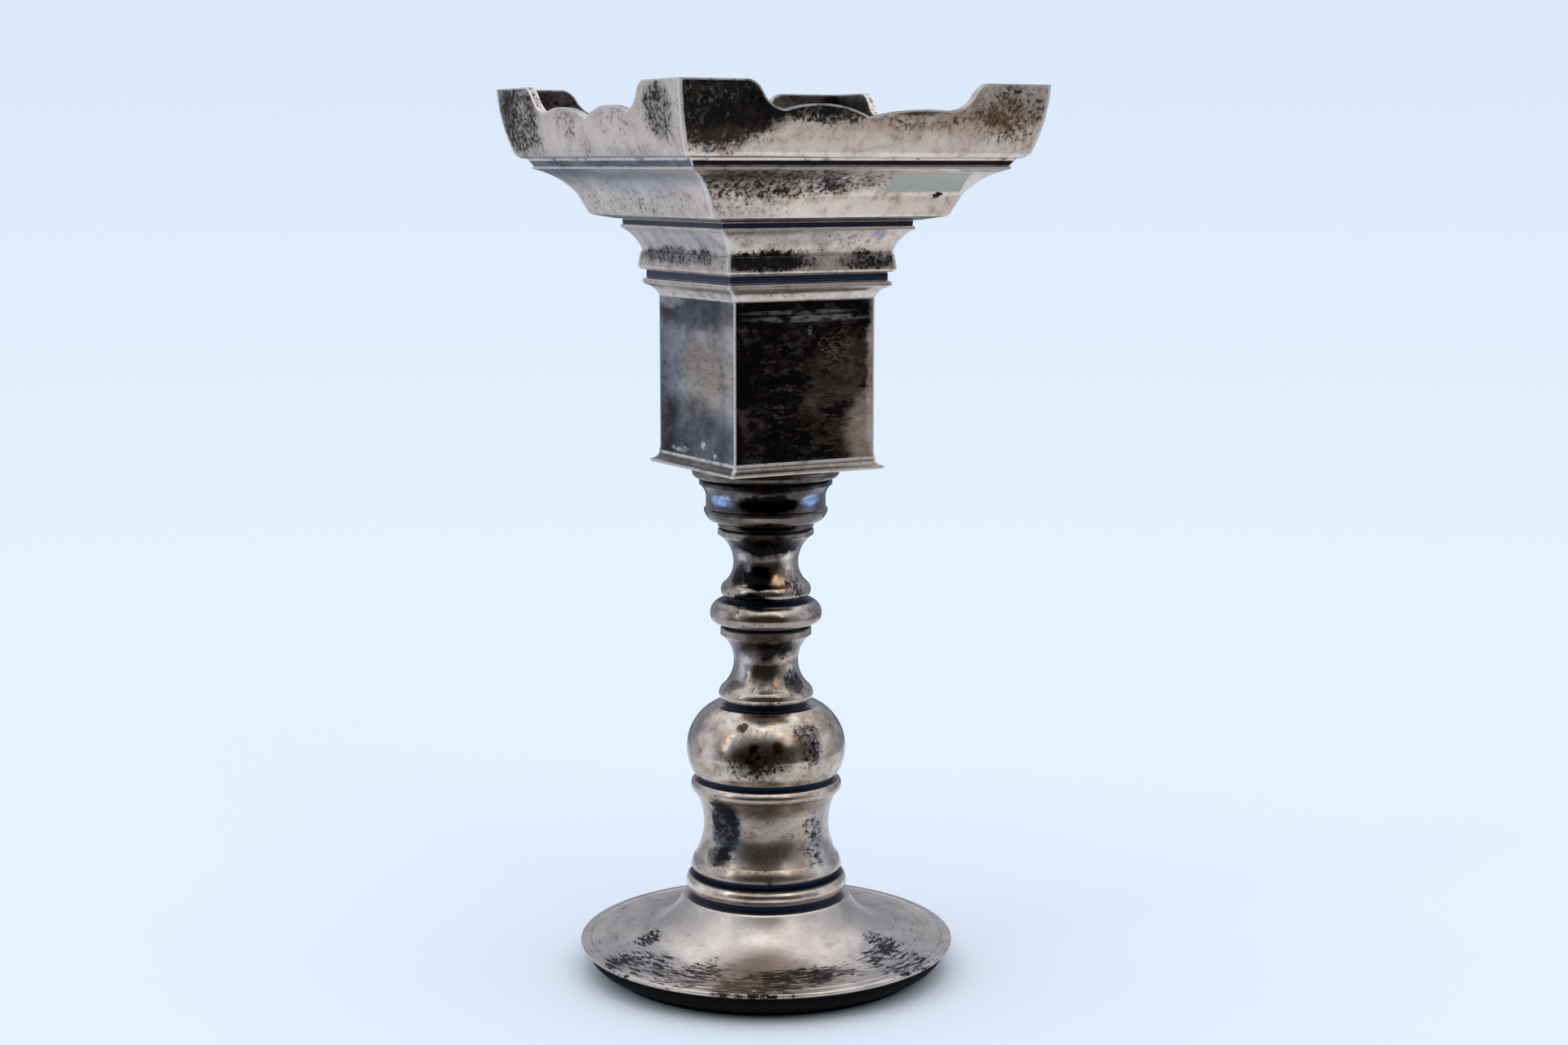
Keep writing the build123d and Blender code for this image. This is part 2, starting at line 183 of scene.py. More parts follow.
def reflected_zones(g, direction):
    """What the silver reflects: soft round zones of light and shade, laid over each other."""
    colour = (0.36, 0.41, 0.50, 1)
    # bearing, elevation, degrees from there to where the zone is full and to where it ends, colour
    zones = (
        (0, 90, 25, 75, (1.165, 1.275, 1.42, 1)),
        (-120, -32, 12, 40, (0.62, 0.69, 0.80, 1)),
        (60, -36, 12, 40, (0.62, 0.66, 0.72, 1)),
        (-98, 10, 10, 28, (0.80, 0.92, 1.12, 1)),
        (94, 10, 10, 28, (0.80, 0.92, 1.12, 1)),
        (60, -4, 8, 24, (0.33, 0.34, 0.37, 1)),
        (180, -12, 12, 30, (0.13, 0.16, 0.23, 1)),
        (0, -4, 34, 62, (0.055, 0.050, 0.048, 1)),
    )
    for bearing, elevation, full, end, zone_colour in zones:
        nearness = g.vector("DOT_PRODUCT", direction, compass(bearing, elevation))
        share = g.step(nearness, math.cos(math.radians(end)), math.cos(math.radians(full)))
        colour = g.mix(share, colour, zone_colour)
    return colour


def plain_backdrop(g, direction):
    """What the camera sees behind the object: pale blue, paler below the horizon."""
    upper = (0.70, 0.81, 0.955, 1)
    lower = (0.785, 0.895, 1.0, 1)
    fade_start, fade_end = 0.10, -0.20
    paler = g.step(g.parts(direction)[2], fade_start, fade_end)
    return g.mix(paler, upper, lower)


def add_world():
    """A plain pale backdrop to look at, and soft zones of light and shade for the silver to reflect."""
    world = bpy.data.worlds.new("light_tent")
    scene.world = world
    world.use_nodes = True
    world.node_tree.nodes.clear()
    g = Graph(world.node_tree)
    direction = g.add("TexCoord").outputs["Generated"]
    choose = g.add("MixShader")
    g.feed(choose.inputs[0], g.add("LightPath").outputs["Is Camera Ray"])
    g.feed(choose.inputs[1], g.glow(reflected_zones(g, direction)))
    g.feed(choose.inputs[2], g.glow(plain_backdrop(g, direction)))
    g.feed(g.add("OutputWorld").inputs["Surface"], choose.outputs[0])


def add_softbox(name, bearing, elevation, size, power, colour):
    """A soft light around the object: bearing in degrees to the right of the camera."""
    reach = 0.62
    aim = Vector((0, 0, 0.08))
    data = bpy.data.lights.new(name, "AREA")
    data.shape = "RECTANGLE"
    data.size, data.size_y = size
    data.energy = power
    data.color = colour
    light = bpy.data.objects.new(name, data)
    scene.collection.objects.link(light)
    direction = compass(bearing, elevation)
    light.location = aim + direction * reach
    light.rotation_euler = direction.to_track_quat("Z", "Y").to_euler()
    light.visible_camera = False


def add_lights():
    """A tall window to the left, a warmer one high on the right, a softbox overhead and a warm lamp."""
    add_softbox("left_window", -62, 22, (0.10, 0.40), 0.17, (0.97, 1.0, 1.02))
    add_softbox("right_window", 36, 36, (0.08, 0.28), 0.085, (1.0, 0.93, 0.80))
    add_softbox("overhead", 0, 68, (0.36, 0.26), 0.17, (0.98, 1.0, 1.0))
    add_softbox("warm_lamp", 33, 50, (0.05, 0.06), 0.022, (1.0, 0.60, 0.22))


# --- Material building ------------------------------------------------------------------------

class Surface(Graph):
    """One material's nodes, with its coordinates in millimetres."""

    def __init__(self, name, square=False):
        self.material = bpy.data.materials.new(name)
        self.material.use_nodes = True
        super().__init__(self.material.node_tree)
        self.shader = self.tree.nodes["Principled BSDF"]
        self.square = square
        coordinates = self.add("TexCoord")
        self.normal = coordinates.outputs["Normal"]
        self.point = self.vector("SCALE", coordinates.outputs["Object"], scale=1 / MM)

    def set(self, name, value):
        """Feed one of the shader's own sockets."""
        self.feed(self.shader.inputs[name], value)

    def noise(self, point, grain, detail=4.0, roughness=0.55, distortion=0.0):
        """Noise with features of about grain millimetres, spread over nearly all of 0 to 1."""
        usual_low, usual_high = 0.28, 0.72
        node = self.add("TexNoise")
        self.feed(node.inputs["Vector"], point)
        node.inputs["Scale"].default_value = 1 / grain
        node.inputs["Detail"].default_value = detail
        node.inputs["Roughness"].default_value = roughness
        node.inputs["Distortion"].default_value = distortion
        spread = self.add("MapRange")
        spread.inputs["From Min"].default_value = usual_low
        spread.inputs["From Max"].default_value = usual_high
        self.feed(spread.inputs["Value"], node.outputs["Fac"])
        return spread.outputs["Result"]

    def wandering(self, distance):
        """Three slow noises as a vector of up to about half the distance, for ragged outlines."""
        node = self.add("TexNoise")
        self.feed(node.inputs["Vector"], self.point)
        node.inputs["Scale"].default_value = 0.32
        node.inputs["Detail"].default_value = 6.0
        node.inputs["Roughness"].default_value = 0.74
        centred = self.vector("SUBTRACT", node.outputs["Color"], (0.5, 0.5, 0.5))
        return self.vector("SCALE", centred, scale=distance)

    def occlusion(self, reach, inside=False):
        """How shut in a point is: crevices outside, or arrises when looked at from inside."""
        node = self.add("AmbientOcclusion")
        node.inside = inside
        node.samples = 8
        node.inputs["Distance"].default_value = reach * MM
        return self.minus(1.0, node.outputs["AO"])

    def bump(self, height, depth, normal=None):
        """Raise the surface by the height times depth millimetres."""
        node = self.add("Bump")
        node.inputs["Distance"].default_value = depth * MM
        self.feed(node.inputs["Height"], height)
        if normal is not None:
            self.feed(node.inputs["Normal"], normal)
        return node.outputs["Normal"]

    def around(self, turns, rise, spread):
        """Coordinates stretched around the axis: rise packs the marks up it, spread away from it."""
        nearest = 0.5
        x, y, z = self.parts(self.point)
        radius = self.most(self.vector("LENGTH", self.join(x, y, 0.0)), nearest)
        round_x = self.times(self.math("DIVIDE", x, radius), turns)
        round_y = self.times(self.math("DIVIDE", y, radius), turns)
        ring = self.plus(self.times(z, rise), self.times(radius, spread))
        return self.join(round_x, round_y, ring)

    def outward(self):
        """1 on faces that look away from the axis, -1 on faces that look at it."""
        x, y, _ = self.parts(self.point)
        if not self.square:
            away = self.vector("NORMALIZE", self.join(x, y, 0.0))
            return self.vector("DOT_PRODUCT", self.normal, away)
        along_x = self.math("GREATER_THAN", self.size(x), self.size(y))
        along_y = self.minus(1.0, along_x)
        way_x = self.times(self.math("SIGN", x), along_x)
        way_y = self.times(self.math("SIGN", y), along_y)
        return self.vector("DOT_PRODUCT", self.normal, self.join(way_x, way_y, 0.0))

    def inside_box(self, low, high):
        """1 inside a box and 0 outside it, with an edge a third of a millimetre soft."""
        soft = 0.15
        share = 1.0
        for value, start, end in zip(self.parts(self.point), low, high):
            share = self.times(share, self.step(value, start - soft, start + soft))
            share = self.times(share, self.step(value, end + soft, end - soft))
        return share

    def blot(self, centre, reach, point):
        """1 in the middle of an egg-shaped patch, falling smoothly to 0 past its edge."""
        full, gone = 0.6, 1.2
        offset = self.vector("SUBTRACT", point, centre)
        inverse = tuple(1 / size for size in reach)
        distance = self.vector("LENGTH", self.vector("MULTIPLY", offset, inverse))
        return self.step(distance, gone, full)

    def same_side(self, centre):
        """1 on the side of the square that the patch's centre lies in, 0 on the other three."""
        x, y, _ = self.parts(self.point)
        main, other, way = (y, x, centre[1]) if abs(centre[1]) > abs(centre[0]) else (x, y, centre[0])
        return self.math("GREATER_THAN", self.times(main, math.copysign(1, way)), self.size(other))

    def gather(self, start, patches, point):
        """A density field: a start value, with each patch's strength added inside it."""
        field = start
        for centre, reach, strength in patches:
            share = self.times(self.blot(centre, reach, point), strength)
            if self.square and abs(centre[0]) != abs(centre[1]):
                share = self.times(share, self.same_side(centre))
            field = self.plus(field, share)
        return field


class Silver(Surface):
    """A silver surface, with the noises that its layers of tarnish share."""

    def __init__(self, name, square, grain, stretch):
        wander_distance = 3.4
        cloud_size = 6.0
        fine_size = 0.5
        fine_share = 0.35
        super().__init__(name, square)
        self.wander = self.wandering(wander_distance)
        self.roaming = self.vector("ADD", self.point, self.wander)
        self.marks = stretch(self) if stretch else self.point
        self.clouds = self.noise(self.point, cloud_size, roughness=0.6)
        self.fine = self.noise(self.marks, fine_size, 5.0, 0.65)
        self.speckle = self.noise(self.marks, grain, 7.0, 0.62, 0.35)
        self.mottle = self.blend(fine_share, self.speckle, self.fine)


# The metal, its coloured films, and the colours of painted highlights and reflections
SILVER = (0.82, 0.70, 0.585, 1)
SILVER_PINK = (0.78, 0.625, 0.53, 1)
# Painted highlight along worn arrises and down mitres, made half diffuse in the shader
GLINT_WHITE = (0.95, 0.90, 0.86, 1)
BROWN_FILM = (0.42, 0.29, 0.18, 1)
# A cold film, also painted as the blue reflection in the quirks on the left side
BLUE_FILM_AND_REFLECTION = (0.22, 0.29, 0.42, 1)
# Amber: real stains on the crown and the ball, and painted warm reflections of the lamp on the stem, ball and
# drum
AMBER = (0.52, 0.27, 0.10, 1)
# Painted sky-blue reflection of the backdrop, for the capital's glints
SKY = (0.40, 0.58, 0.90, 1)
GREENISH = (0.53, 0.515, 0.445, 1)

# What lies over it
SMOKE = (0.0035, 0.0035, 0.0042, 1)
SMOKE_BROWN = (0.014, 0.009, 0.006, 1)
SULPHIDE = (0.004, 0.0038, 0.0036, 1)
SULPHIDE_BROWN = (0.030, 0.016, 0.008, 1)
RUST = (0.24, 0.135, 0.065, 1)
RESIDUE = (0.62, 0.60, 0.57, 1)
# Grime, with painted shade, in the crevices and the quirk bands
GRIME_AND_SHADE = (0.016, 0.022, 0.038, 1)
GRIME_AND_SHADE_TURNED = (0.004, 0.0055, 0.011, 1)
GRIME_SHEEN = (0.22, 0.50, 1.0, 1)


# How far in mm an arris is looked for, and the occlusion from inside where it starts and where it is full
SQUARE_ARRIS = (0.55, 0.14, 0.28)
TURNED_ARRIS = (0.45, 0.42, 0.62)


def rubbed_arrises(g):
    """1 along the outer edges, broken up as if rubbed by hand."""
    patch_size = 2.4
    least = 0.35
    reach, start, full = SQUARE_ARRIS if g.square else TURNED_ARRIS
    edge = g.step(g.occlusion(reach, inside=True), start, full)
    return g.times(edge, g.step(g.noise(g.point, patch_size), 0.10, 0.50, bottom=least))


def grime_and_painted_shade(g, crevice, bands):
    """1 in the crevices and between the two heights of each band: grime packed in, with painted shade where
    the crevices and grooves are shut in and shadowed.
    """
    soft = 0.12
    crevice_reach = 1.5
    ragged_size, raggedness = 1.6, 0.14
    ragged = g.times(g.minus(g.noise(g.point, ragged_size), 0.5), raggedness)
    # Painted shade where occlusion finds the surface shut in, with grime packed into the same crevices
    grime_and_shade = g.step(g.plus(g.occlusion(crevice_reach), ragged), *crevice)
    height = g.parts(g.point)[2]
    # Dark quirk bands between the sections: grime, with painted shade for the grooves' shadow
    for low, high in bands:
        rise = g.step(height, low - soft, low + soft)
        fall = g.step(height, high + soft, high - soft)
        grime_and_shade = g.most(grime_and_shade, g.times(rise, fall))
    return grime_and_shade


def scribbles(g, patches):
    """Curly lines through the film, where it was rubbed: the places where a noise is at its middle."""
    curl_size = 5.5
    line_width = 0.16
    point = g.vector("ADD", g.marks, g.vector("SCALE", g.wander, scale=0.5))
    curl = g.noise(point, curl_size, roughness=0.65, distortion=0.9)
    line = g.step(g.size(g.minus(curl, 0.5)), line_width, 0.0)
    line = g.times(g.times(line, g.step(g.fine, 0.2, 0.8)), g.step(g.clouds, 0.3, 0.75))
    return g.times(line, g.gather(0.0, patches, g.roaming))


def smoky_film(g, smoke, patches, cloudiness, inner, clean, scribble_patches):
    """How dark the even film is, from 0 to 1, drifting in soft clouds."""
    wiped_depth = 0.34
    drift = g.times(g.minus(g.blend(0.4, g.clouds, g.mottle), 0.5), cloudiness)
    depth = g.gather(g.plus(smoke, drift), patches, g.roaming)
    if inner:
        depth = g.plus(depth, g.step(g.outward(), -0.35, -0.75, top=inner))
    if clean is not None:
        depth = g.blend(clean, depth, wiped_depth)
    if scribble_patches:
        depth = g.minus(depth, scribbles(g, scribble_patches))
    return g.times(depth, 1.0, clamp=True)


def speck_crust(g, specks, patches, soft, halo, clean):
    """The share of black crust at each point, and of the stain that spreads around it."""
    wiped_field = -0.2
    stain_reach = 0.34
    cloudy = g.times(g.minus(g.clouds, 0.5), 0.25)
    field = g.gather(g.plus(specks, cloudy), patches, g.roaming)
    if clean is not None:
        field = g.blend(clean, field, wiped_field)
    threshold = g.minus(1.0, field)
    black = g.step(g.mottle, g.minus(threshold, soft), g.plus(threshold, soft))
    stain = g.step(g.mottle, g.minus(threshold, stain_reach), g.plus(threshold, 0.02), top=halo)
    return black, stain


def coloured_metal(g, bloom, bloom_patches, blue_patches, tints, clean, kept):
    """The metal under its brown bloom, its cold film, other tints and the wiped box's grey; the cold film and
    some tints are painted reflections in places.
    """
    bloom_size = 3.0
    bloom_soft = 0.42
    bloom_edge = g.minus(1.0, g.gather(bloom, bloom_patches, g.roaming))
    veil = g.noise(g.marks, bloom_size, 6.0, 0.6)
    veil = g.step(veil, g.minus(bloom_edge, bloom_soft), g.plus(bloom_edge, bloom_soft))
    veil = g.times(veil, g.step(g.fine, 0.1, 0.9, 0.5, 0.95))
    cold = g.gather(0.0, blue_patches, g.roaming)
    cold = g.times(cold, g.step(g.clouds, 0.1, 0.8, bottom=0.65), clamp=True)
    metal = g.mix(g.clouds, SILVER, SILVER_PINK)
    metal = g.mix(g.times(veil, kept), metal, BROWN_FILM)
    metal = g.mix(g.times(cold, kept), metal, BLUE_FILM_AND_REFLECTION)
    for patches, colour in tints:
        share = g.times(g.gather(0.0, patches, g.roaming), g.step(g.fine, 0.0, 0.6, bottom=0.5), clamp=True)
        metal = g.mix(share, metal, colour)
    if clean is not None:
        metal = g.mix(g.times(clean, g.step(g.speckle, 0.0, 1.0, 1.0, 0.7)), metal, GREENISH)
    return metal


def covered_metal(g, metal, depth, black, stain, brown, rust_patches, residue_patches):
    """The metal's colour under the stain, the film, the crust and any old polish."""
    stain_strength = 0.72
    brown_size = 2.2
    chalk_size = 1.5
    metal = g.mix(stain, metal, g.mix(stain_strength, metal, SMOKE_BROWN))
    metal = g.mix(depth, metal, g.mix(g.times(g.speckle, brown), SMOKE, SMOKE_BROWN))
    brown_crust = g.times(g.step(g.noise(g.marks, brown_size), 0.45, 0.8), brown)
    crust = g.mix(brown_crust, SULPHIDE, SULPHIDE_BROWN)
    crust = g.mix(g.times(g.gather(0.0, rust_patches, g.roaming), g.fine, clamp=True), crust, RUST)
    metal = g.mix(black, metal, crust)
    if residue_patches:
        broken = g.step(g.noise(g.marks, chalk_size, 5.0), 0.25, 0.6)
        chalk = g.times(g.gather(0.0, residue_patches, g.point), broken, clamp=True)
        metal = g.mix(chalk, metal, RESIDUE)
    return metal


def bare_edges_and_glints(g, arris, edge_light, mitre_width):
    """Painted highlights on worn bare metal: along the arrises, and down the mitres of a square piece."""
    turned_edge_light = 0.25
    if not g.square:
        return g.times(arris, turned_edge_light)
    x, y, _ = g.parts(g.point)
    across = g.size(g.minus(g.size(x), g.size(y)))
    mitre = g.times(g.step(across, mitre_width, mitre_width / 3), g.step(g.outward(), 0.2, 0.5))
    mitre = g.times(mitre, g.step(g.mottle, 0.2, 0.5, 0.55, 0.9))
    return g.most(g.times(arris, edge_light), mitre)


def dented(g, dull):
    """Soft dents, fine marks, and the crust standing a hair above the metal."""
    dent_size, dent_depth = 7.0, 0.035
    mark_size, mark_depth = 0.5, 0.003
    crust_height = 0.008
    normal = g.bump(g.noise(g.point, dent_size, 2.0), dent_depth)
    normal = g.bump(g.noise(g.marks, mark_size, 3.0), mark_depth, normal)
    return g.bump(dull, crust_height, normal)


def feed_shader(g, metal, depth, black, grime_and_shade, edge_glint, gloss):
    """Crust, grime and painted crevice shade are dull, not metallic; painted edge glints are half diffuse;
    the film dulls the metal a little.
    """
    fine_dulling = 0.10
    film_dulling = 0.10
    edge_haze = 0.7
    crust_roughness, grime_roughness = 0.46, 0.34
    crust_specular, grime_specular = 0.12, 0.40
    dull = g.most(black, grime_and_shade)
    metal_roughness = g.step(g.fine, 0.0, 1.0, gloss, gloss + fine_dulling)
    metal_roughness = g.plus(metal_roughness, g.times(depth, film_dulling))
    # Grime and painted crevice shade darken the colour
    g.set("Base Color", g.mix(grime_and_shade, metal, GRIME_AND_SHADE if g.square else GRIME_AND_SHADE_TURNED))
    g.set("Metallic", g.minus(1.0, g.most(dull, g.times(edge_glint, edge_haze))))
    g.set("Roughness", g.blend(dull, metal_roughness, g.blend(grime_and_shade, crust_roughness, grime_roughness)))
    g.set("Specular IOR Level", g.blend(grime_and_shade, crust_specular, grime_specular))
    g.set("Specular Tint", g.mix(grime_and_shade, WHITE, GRIME_SHEEN))
    g.set("Normal", dented(g, dull))


def tarnished_silver(name, square=False, stretch=None, grain=1.0,
                     specks=0.2, speck_patches=(), soft=0.12, halo=0.55, brown=0.4, rust_patches=(),
                     smoke=0.1, smoke_patches=(), cloudiness=0.3, inner=0.0, scribble_patches=(),
                     bloom=0.3, bloom_patches=(), blue_patches=(), tints=(), residue_patches=(),
                     gloss=0.16, crevice=(0.45, 0.72), bands=(), edge_light=0.45, mitre_width=0.75,
                     wiped=None):
    """Silver under a bloom of colour, a smoky film and a crust of black specks, clean on its arrises.

    All distances are in mm, and patches are (centre, reach, strength), kept to one side of a square piece.
    stretch gives the coordinates that the marks follow, and grain is the size of the specks.
    specks is the share of the surface under black specks, soft how soft their edges are, halo how dark the
    stain around them is, and brown how brown they and the film are. rust_patches turn them rusty.
    smoke is how dark the even film is and cloudiness how much it drifts. inner darkens the faces that look
    at the axis, and scribble_patches thin the film along curly lines.
    bloom is the share under a brown bloom, blue_patches hold a cold film and in places a painted blue
    reflection, tints are pairs of patches and the colour that they have, some of them painted reflections,
    and residue_patches keep old polish.
    gloss is the clean metal's roughness. crevice gives the occlusion where grime and painted shade start and
    where they are full, and bands are pairs of heights with a packed quirk, grime with painted shade, between
    them.
    edge_light is how bright the painted highlight on the arrises of a square piece is and mitre_width the
    reach of the painted bright line down its corners.
    wiped is a box (low corner, high corner) rubbed clean.
    """
    wear = 0.9
    g = Silver(name, square, grain, stretch)
    arris = rubbed_arrises(g)
    kept = g.minus(1.0, g.times(arris, wear))
    clean = g.inside_box(*wiped) if wiped else None
    # Grime in the crevices and quirks, with painted shade
    grime_and_shade = grime_and_painted_shade(g, crevice, bands)
    depth = smoky_film(g, smoke, smoke_patches, cloudiness, inner, clean, scribble_patches)
    depth = g.times(depth, kept)
    black, stain = speck_crust(g, specks, speck_patches, soft, halo, clean)
    black = g.times(black, kept)
    stain = g.times(stain, kept)
    metal = coloured_metal(g, bloom, bloom_patches, blue_patches, tints, clean, kept)
    metal = covered_metal(g, metal, depth, black, stain, brown, rust_patches, residue_patches)
    # Painted highlight along the worn arrises and down the mitres
    edge_glint = bare_edges_and_glints(g, arris, edge_light, mitre_width)
    metal = g.mix(edge_glint, metal, GLINT_WHITE)
    feed_shader(g, metal, depth, black, grime_and_shade, edge_glint, gloss)
    return g.material


def level_marks(g):
    """Coordinates stretched along the level, for marks from wiping a flat side."""
    return g.vector("MULTIPLY", g.point, (0.5, 0.5, 1.3))


def turned_marks(g):
    """Coordinates drawn out around the axis, for marks left by turning the stem."""
    return g.around(7.0, 1.0, 0.0)


def cup_marks(g):
    """Coordinates drawn out around the axis, on the cup's wall and its flange."""
    return g.around(7.0, 1.0, 1.0)


def spun_marks(g):
    """Coordinates drawn out around the axis, for marks left by spinning the dish."""
    return g.around(9.0, 0.0, 1.5)


def plain_material(name, colours, roughness, metallic, grain, depth, specular=0.5):
    """A mottled plain finish, between two colours, for a piece that hardly shows."""
    g = Surface(name)
    mottle = g.noise(g.point, grain, 5.0)
    g.set("Base Color", g.mix(mottle, *colours))
    g.set("Roughness", g.step(mottle, 0.0, 1.0, roughness - 0.1, roughness + 0.1))
    g.set("Metallic", metallic)
    g.set("Specular IOR Level", specular)
    g.set("Normal", g.bump(mottle, depth))
    return g.material


def felt_material():
    """Dark green felt: matted fibres over a soft uneven nap."""
    g = Surface("dark_felt")
    fibres = g.noise(g.vector("MULTIPLY", g.point, (1.0, 3.5, 1.0)), 0.35, 5.0, 0.7, 1.2)
    crossing = g.noise(g.vector("MULTIPLY", g.point, (3.5, 1.0, 1.0)), 0.35, 5.0, 0.7, 1.2)
    nap = g.times(g.plus(fibres, crossing), 0.5)
    g.set("Base Color", g.mix(nap, (0.003, 0.005, 0.004, 1), (0.012, 0.018, 0.014, 1)))
    g.set("Roughness", 0.95)
    g.set("Specular IOR Level", 0.08)
    g.set("Normal", g.bump(nap, 0.12))
    return g.material


# --- Places on the pieces ---------------------------------------------------------------------

def dress(material, *names):
    """Give CAD nodes one material in all their slots."""
    for name in names:
        for slot in nodes[name].material_slots:
            slot.material = material


def seat_of(name):
    """The height in mm that a section stands at."""
    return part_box(name)[0].z / MM


def quirk(name, height):
    """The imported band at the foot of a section, up to a height in mm above its seat."""
    below = 0.1
    return (seat_of(name) - below, seat_of(name) + height)


def on_stem(across, radius, height):
    """A point on the turned stem, in mm, across to the right of the middle as the camera sees it."""
    ahead = math.sqrt(max(radius ** 2 - across ** 2, 0.0))
    spot = RIGHTWARDS * across + TOWARDS_CAMERA * ahead
    return (spot.x, spot.y, height)


def ease_arrises(*names):
    """Round the sharp edges a little, so that they catch a line of light."""
    width = 0.22
    sharp_angle = math.radians(50)
    for name in names:
        bevel = nodes[name].modifiers.new("worn_arris", "BEVEL")
        bevel.width = width * MM
        bevel.segments = 2
        bevel.limit_method = "ANGLE"
        bevel.angle_limit = sharp_angle
        bevel.harden_normals = True


# --- The pieces' materials --------------------------------------------------------------------
# Patches are (centre, reach, strength) in mm; a negative strength leaves the silver cleaner there

CROWN_PLATES = ("gallery_wall_front", "gallery_wall_right", "gallery_wall_back", "gallery_wall_left")
SQUARE_TIERS = ("column_box", "column_plate", "collar_moulding", "cornice_moulding", "pan_moulding",
                "pan_floor")


def dress_crown():
    """Four scalloped plates: black at the near corner, brown specks towards the right, grey on the left."""
    seat = seat_of("gallery_wall_front")
    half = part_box("gallery_wall_front")[1].x / MM
    specks = (
        # the front, from the black corner to the right end
        ((-29, -half, seat + 8.6), (12.5, 9, 8.4), 0.50),
        ((-9, -half, seat + 7.6), (11, 6, 2.2), 0.40),
        ((14, -half, seat + 6.9), (18, 6, 2.3), 0.15),
        ((30, -half, seat + 8), (8.5, 6, 7.0), 0.29),
        # the left side, from its far end to the near corner
        ((-half, 29, seat + 7), (6, 10, 9), 0.36),
        ((-half, -28.5, seat + 7.5), (6, 6.0, 6.0), 0.30),
        ((-half, 8, seat + 6), (6, 5, 3), 0.16),
        ((-half, -10, seat + 5.5), (6, 8, 3), 0.10),
        # the right side, the back, and the clean foot of the front
        ((half, 5, seat + 8), (6, 24, 6), 0.3),
        ((-8, half, seat + 8), (24, 6, 6), 0.3),
        ((4, -half, seat + 1.6), (34, 6, 2.0), -0.2),
    )
    smoke = (
        ((-29.5, -half, seat + 9.4), (12.5, 9, 7.4), 0.74),
        ((-20.5, -half, seat + 8.2), (6, 6, 4), 0.40),
        ((-9, -half, seat + 8.6), (11.5, 6, 1.9), 0.75),
        ((9, -half, seat + 8.2), (9, 6, 0.9), 0.7),
        ((30, -half, seat + 9), (6, 6, 4.5), 0.08),
        ((-half, 29, seat + 7), (6, 10, 9), 0.30),
        ((-half, 35, seat + 9), (6, 5, 9), 0.35),
        ((-half, -28.5, seat + 7.5), (6, 5.5, 5.5), 0.34),
        ((4, -half, seat + 1.4), (34, 6, 1.8), -0.08),
    )
    bloom = (
        ((16, -half, seat + 6), (19, 6, 4), 0.06),
        ((31, -half, seat + 5), (9, 6, 6), 0.10),
        ((-28, -half, seat + 4), (10, 6, 4), 0.3),
        ((-half, 0, seat + 6), (6, 40, 12), -0.15),
    )
    rust = (
        ((14, -half, seat + 6), (20, 6, 5), 0.75),
        ((30, -half, seat + 6), (9, 6, 6), 0.55),
        ((-27, -half, seat + 3), (12, 6, 2.6), 0.35),
    )
    amber = (
        ((20, -half, seat + 6.0), (9, 6, 2.6), 0.36),
        ((3, -half, seat + 5.6), (8, 6, 1.4), 0.22),
        ((29, -half, seat + 6.5), (6, 6, 3.0), 0.30),
    )
    blue = (
        ((-31.4, -half, seat + 1.4), (1.2, 3, 0.8), 1.0),
        ((3.1, -half, seat + 1.9), (4.0, 3, 0.6), 0.6),
        # painted blue reflection in the quirk along the left side's foot
        ((-half, 0, seat + 0.8), (6, 38, 1.2), 0.3),
    )
    material = tarnished_silver(
        "crown_silver", square=True, grain=0.9, specks=0.15, speck_patches=specks, brown=0.8,
        rust_patches=rust, smoke=0.06, smoke_patches=smoke, inner=0.8, bloom=0.20, bloom_patches=bloom,
        blue_patches=blue, tints=((amber, AMBER),),
    )
    dress(material, *CROWN_PLATES)


def dress_pan_moulding():
    """The moulding under the pan, brown above and clean below, with a wiped box on the right."""
    seat = seat_of("pan_moulding")
    specks = (
        ((-12, -30, seat + 7.9), (22, 8, 3.0), 0.32),
        ((-17, -28, seat + 4.4), (13, 8, 2.4), 0.16),
        ((20.5, -29, seat + 5.7), (1.6, 4, 0.8), 0.9),
        ((6, -28, seat + 3.2), (22, 8, 1.8), -0.12),
        ((-29, 3, seat + 4.5), (8, 26, 3.4), 0.10),
    )
    smoke = (
        ((-12, -30, seat + 8.6), (24, 8, 2.6), 0.40),
        ((-20, -27, seat + 4), (10, 8, 3.5), 0.16),
        ((6, -28, seat + 3.2), (22, 8, 1.8), -0.12),
    )
    bloom = (
        ((-10, -30, seat + 7.5), (24, 8, 4.0), 0.35),
        ((-29, 0, seat + 6), (6, 32, 6), -0.15),
    )
    blue = (((-30, 2, seat + 8.5), (7, 34, 3), 0.45), ((-26, 2, seat + 4), (5, 30, 3), 0.15))
    material = tarnished_silver(
        "pan_silver", square=True, grain=0.9, specks=0.13, speck_patches=specks, brown=0.7, smoke=0.10,
        smoke_patches=smoke, bloom=0.22, bloom_patches=bloom, blue_patches=blue,
        bands=(quirk("pan_moulding", 0.9),), wiped=((9.3, -34, seat + 6.2), (25.5, -24, seat + 9.7)),
    )
    dress(material, "pan_moulding")


